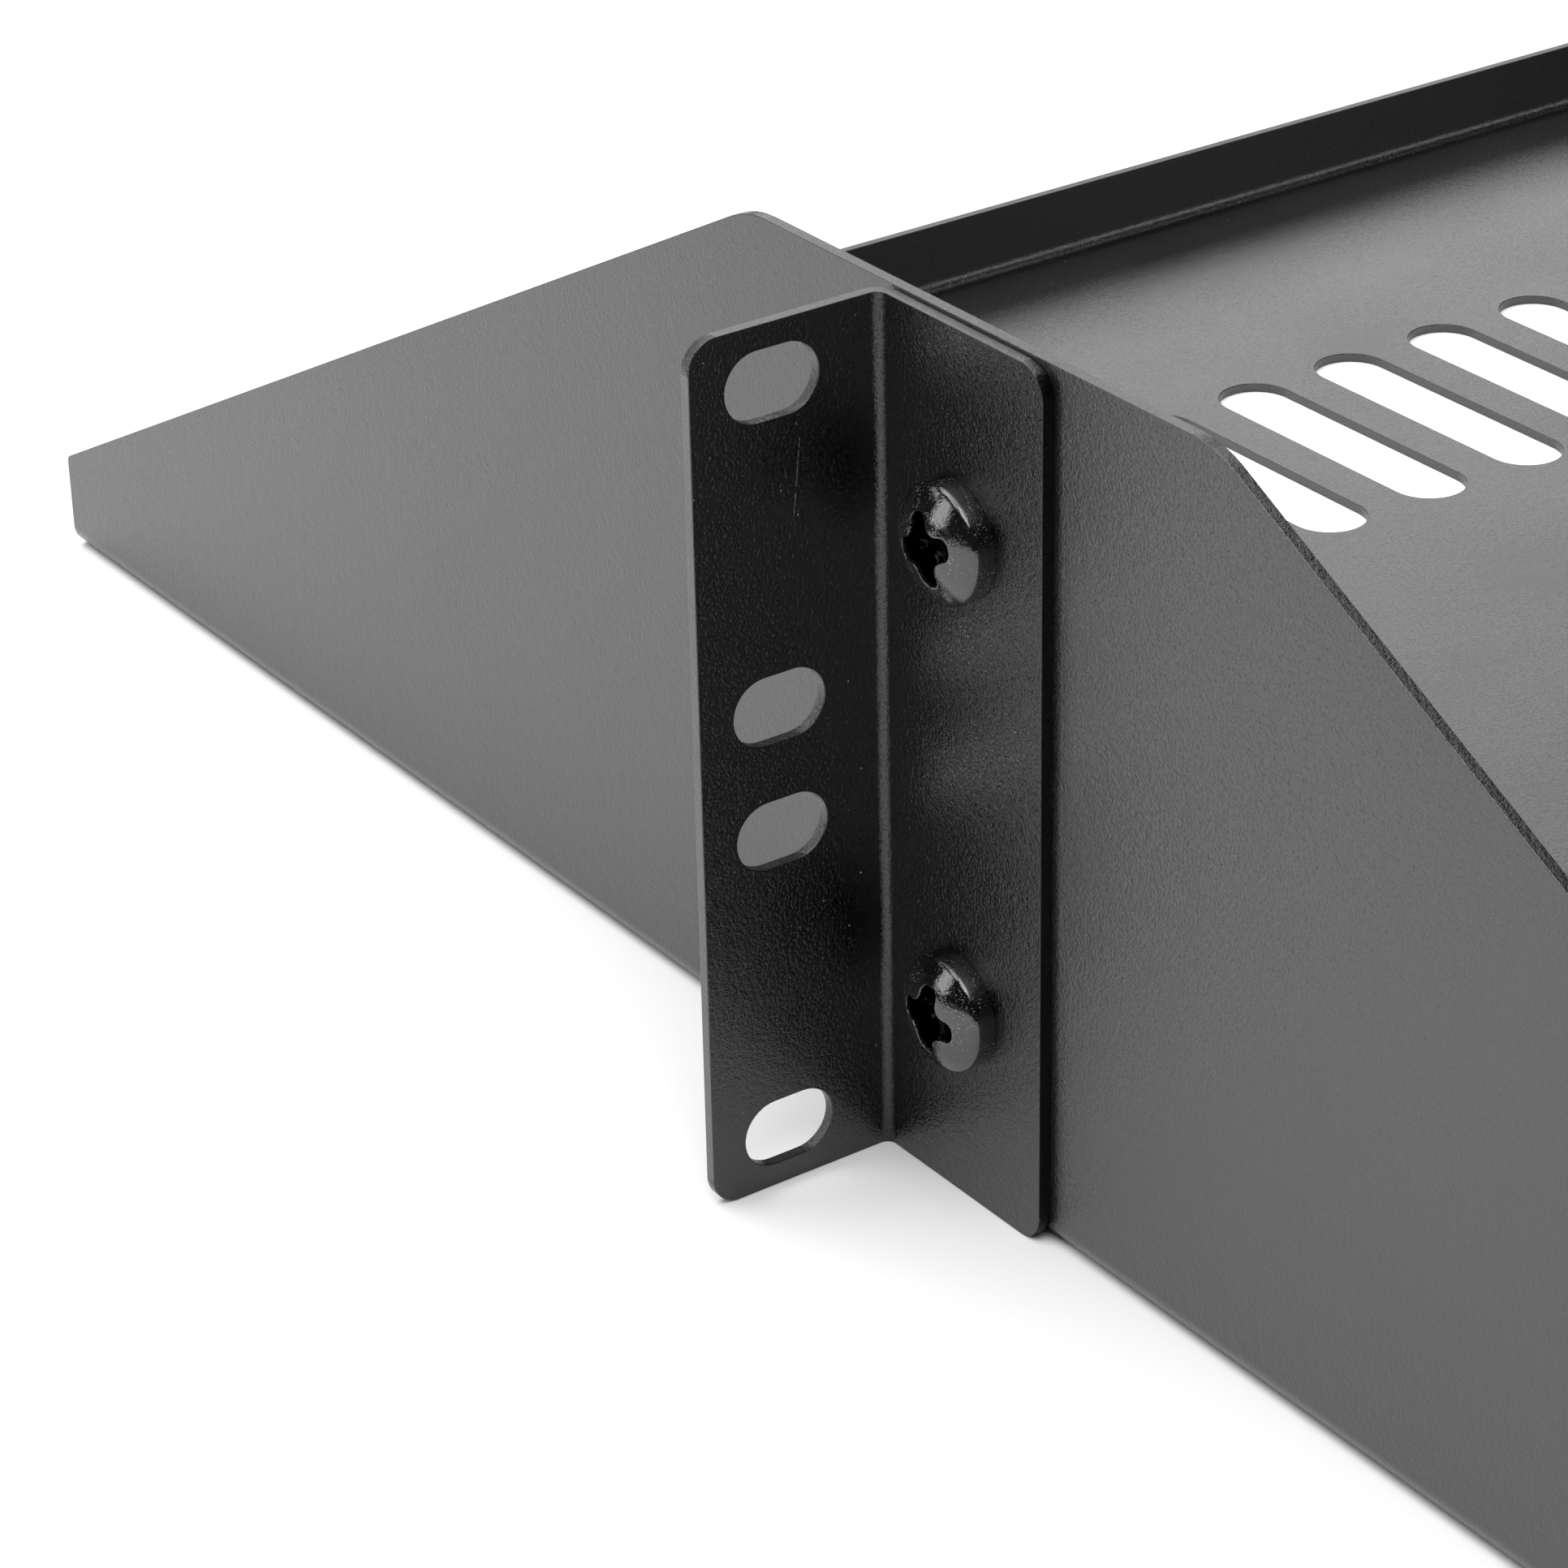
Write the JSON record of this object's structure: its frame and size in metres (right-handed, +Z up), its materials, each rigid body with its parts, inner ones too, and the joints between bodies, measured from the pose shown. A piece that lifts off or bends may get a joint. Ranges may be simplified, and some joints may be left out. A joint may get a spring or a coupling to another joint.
{
  "type": "cantilever rack shelf",
  "caption": "Two-unit vented sheet steel shelf for a 19 inch rack, with sloping side walls, low end lips and a bolted L bracket on each side at mid depth.",
  "frame": {"origin": "middle of the tray's footprint, at the height of its underside", "axes": "+X to the right along the rack's width, +Y towards the rear, +Z up"},
  "size_m": [0.4826, 0.36, 0.0882],
  "materials": {
    "powder_coat": "fine-textured satin black powder coat on sheet steel",
    "black_screw": "glossy black plating",
    "nut_plating": "bright zinc plating"
  },
  "bodies": {
    "root": {"shelf_tray": "powder_coat", "left_bracket": "powder_coat", "right_bracket": "powder_coat", "left_upper_screw": "black_screw", "left_upper_nut": "nut_plating", "left_lower_screw": "black_screw", "left_lower_nut": "nut_plating", "right_upper_screw": "black_screw", "right_upper_nut": "nut_plating", "right_lower_screw": "black_screw", "right_lower_nut": "nut_plating"}
  },
  "joints": []
}
